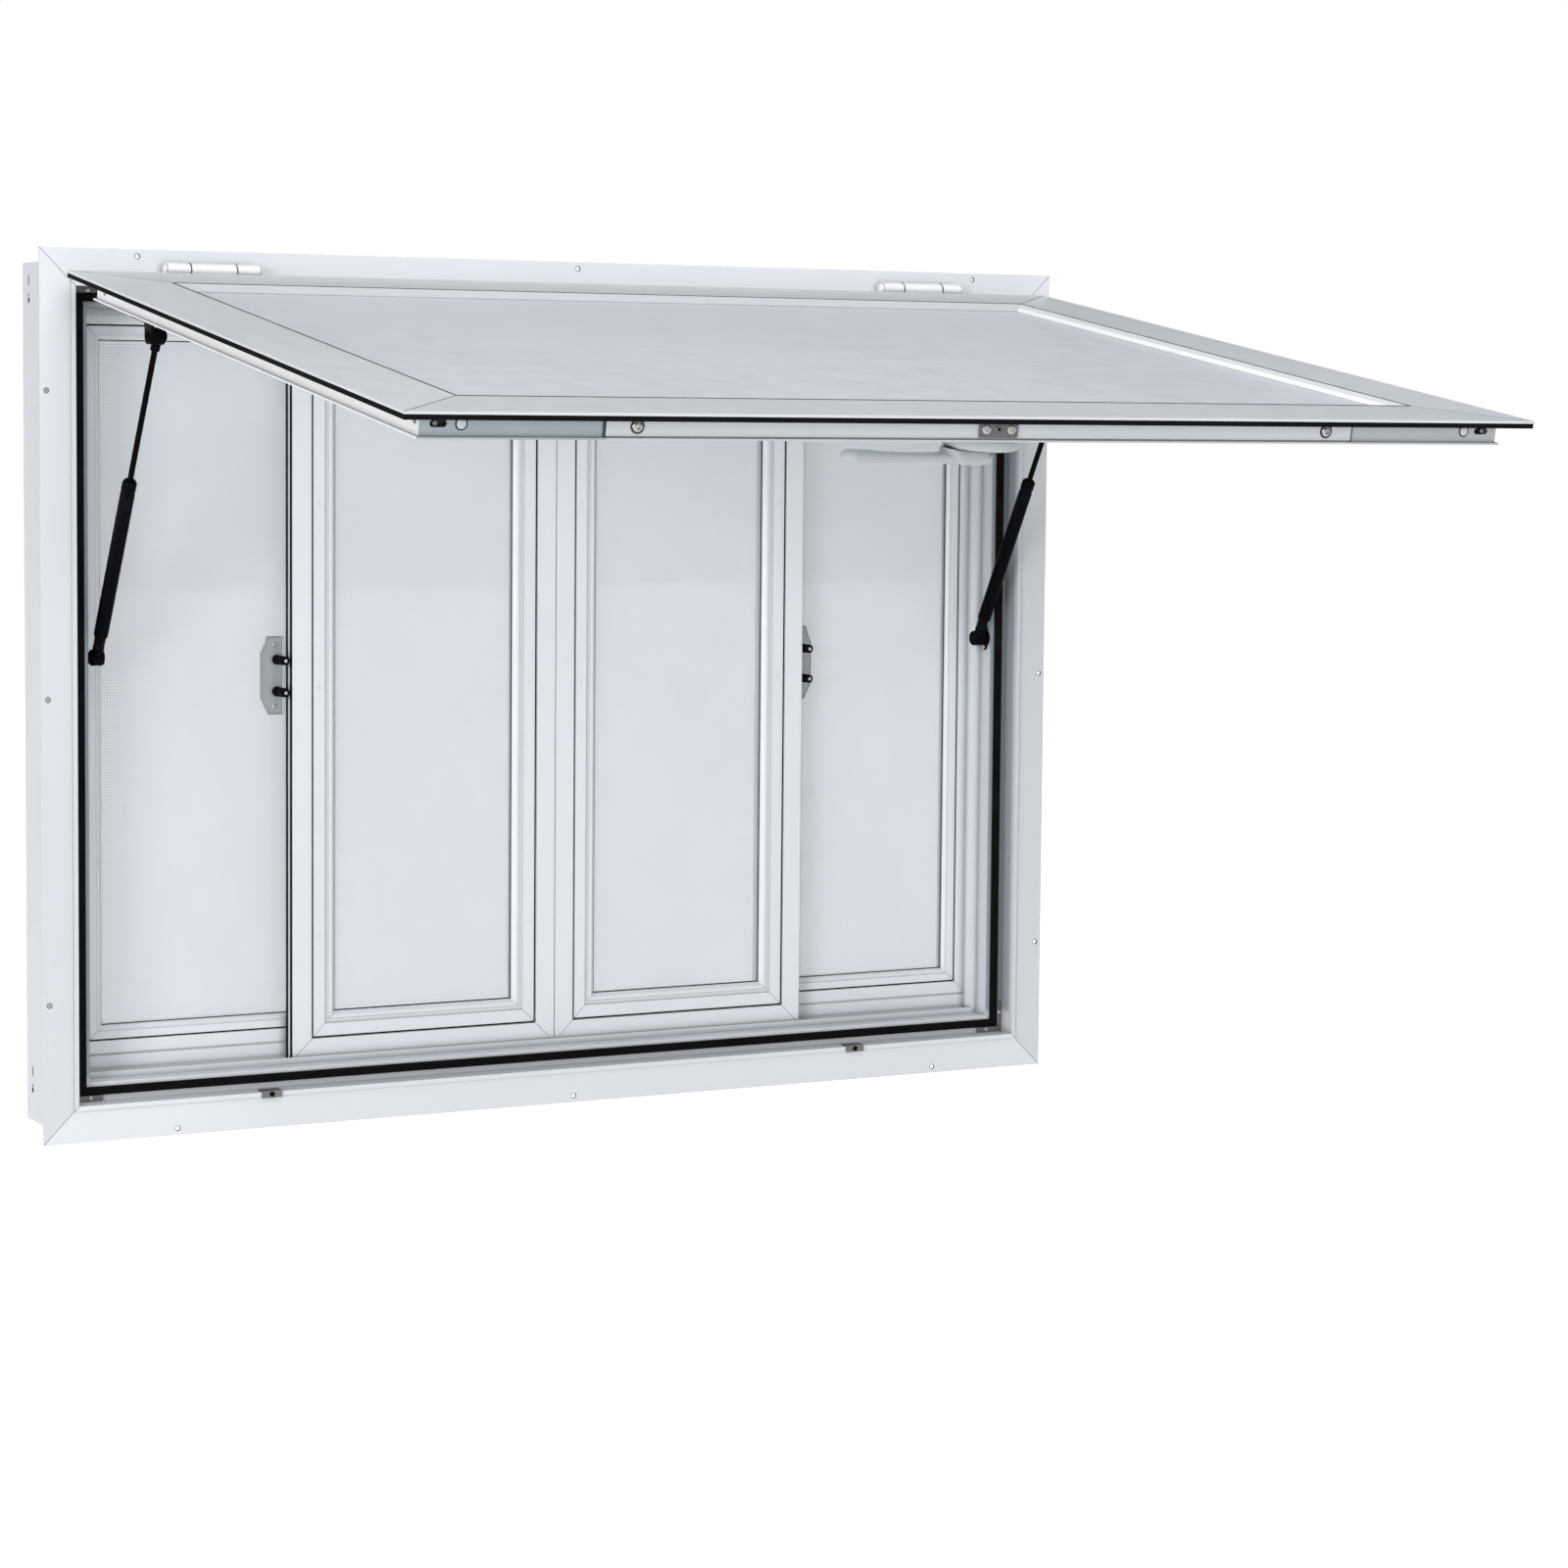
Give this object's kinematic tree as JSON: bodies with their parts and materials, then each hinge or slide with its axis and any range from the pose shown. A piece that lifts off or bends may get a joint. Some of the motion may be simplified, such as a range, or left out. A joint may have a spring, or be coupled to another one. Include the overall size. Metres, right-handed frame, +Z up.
{
  "type": "concession window with awning door",
  "caption": "White aluminium serving window with a wall flange, sliding glazed sashes with insect screens, and a top-hung awning door held open by gas struts.",
  "frame": {"origin": "on the back face of the wall flange, at mid width, where the underside of the frame box meets it", "axes": "+Z up, +Y into the wall and room, +X to the right seen from outside"},
  "size_m": [1.206, 0.9641, 0.914],
  "materials": {
    "white_frame": "white powder coat, satin",
    "white_door": "white powder coat, satin",
    "white_sash": "white powder coat, satin",
    "rubber": "black seal, matt",
    "steel": "pressed steel",
    "glass": "clear float glass",
    "screen": "grey woven insect screen",
    "clear_plastic": "clear moulded plastic",
    "black_plastic": "black moulded plastic",
    "black_metal": "black gloss enamel"
  },
  "bodies": {
    "frame": {"frame_left": "white_frame", "frame_right": "white_frame", "frame_head": "white_frame", "frame_sill": "white_frame", "track_left": "white_sash", "track_right": "white_sash", "track_head": "white_sash", "track_sill": "white_sash", "frame_gasket": "rubber", "corner_keys": "steel", "sill_keepers": "steel", "hinge_leaves_fixed": "white_frame", "strut_studs_frame": "black_metal", "sash_front_left": "white_sash", "sash_front_right": "white_sash", "sash_rear_left": "white_sash", "sash_rear_right": "white_sash", "glass_front_left": "glass", "glass_front_right": "glass", "glass_rear_left": "glass", "glass_rear_right": "glass", "screen_front_left": "screen", "screen_front_right": "screen", "screen_rear_left": "screen", "screen_rear_right": "screen", "sash_edge_seals": "rubber", "finger_plates": "clear_plastic", "turn_knobs": "black_plastic"},
    "awning": {"awning_rail_left": "white_door", "awning_rail_right": "white_door", "awning_rail_top": "white_door", "awning_rail_bottom": "white_door", "awning_panel": "white_door", "awning_liner": "white_door", "awning_gasket": "rubber", "awning_cover_strip": "white_door", "latch_plate": "steel", "awning_bolts": "steel", "hinge_leaves_door": "white_door", "strut_brackets_door": "black_metal", "handle_base": "white_door"},
    "handle": {"handle_lever": "white_door"},
    "rod_left": {"strut_rod_left": "black_metal"},
    "rod_right": {"strut_rod_right": "black_metal"},
    "cylinder_left": {"strut_cylinder_left": "black_metal"},
    "cylinder_right": {"strut_cylinder_right": "black_metal"}
  },
  "joints": [
    {"name": "awning_hinge", "type": "hinge", "parent": "frame", "child": "awning", "pos_m": [0, -0.0145, 0.88], "axis": [1, 0, 0], "range_deg": [0, 80.4]},
    {"name": "handle_turn", "type": "hinge", "parent": "awning", "child": "handle", "pos_m": [0.016, -0.79181, 0.72064], "axis": [0, -0.1668, 0.986], "range_deg": [-90, 0]},
    {"name": "rod_pivot_left", "type": "hinge", "parent": "awning", "child": "rod_left", "pos_m": [-0.533, -0.15571, 0.80946], "axis": [1, 0, 0], "range_deg": [-110.5, 0]},
    {"name": "rod_pivot_right", "type": "hinge", "parent": "awning", "child": "rod_right", "pos_m": [0.533, -0.15571, 0.80946], "axis": [1, 0, 0], "range_deg": [-110.5, 0]},
    {"name": "strut_slide_left", "type": "slide", "parent": "rod_left", "child": "cylinder_left", "axis": [0, -0.4976, 0.8674], "range_m": [0, 0.131]},
    {"name": "strut_slide_right", "type": "slide", "parent": "rod_right", "child": "cylinder_right", "axis": [0, -0.4976, 0.8674], "range_m": [0, 0.131]}
  ],
  "couplings": [
    {"joint": "rod_pivot_left", "follows": "awning_hinge", "ratio": -1.3726},
    {"joint": "rod_pivot_right", "follows": "awning_hinge", "ratio": -1.3726},
    {"joint": "strut_slide_left", "follows": "awning_hinge", "m_per_rad": 0.092797},
    {"joint": "strut_slide_right", "follows": "awning_hinge", "m_per_rad": 0.092797}
  ]
}
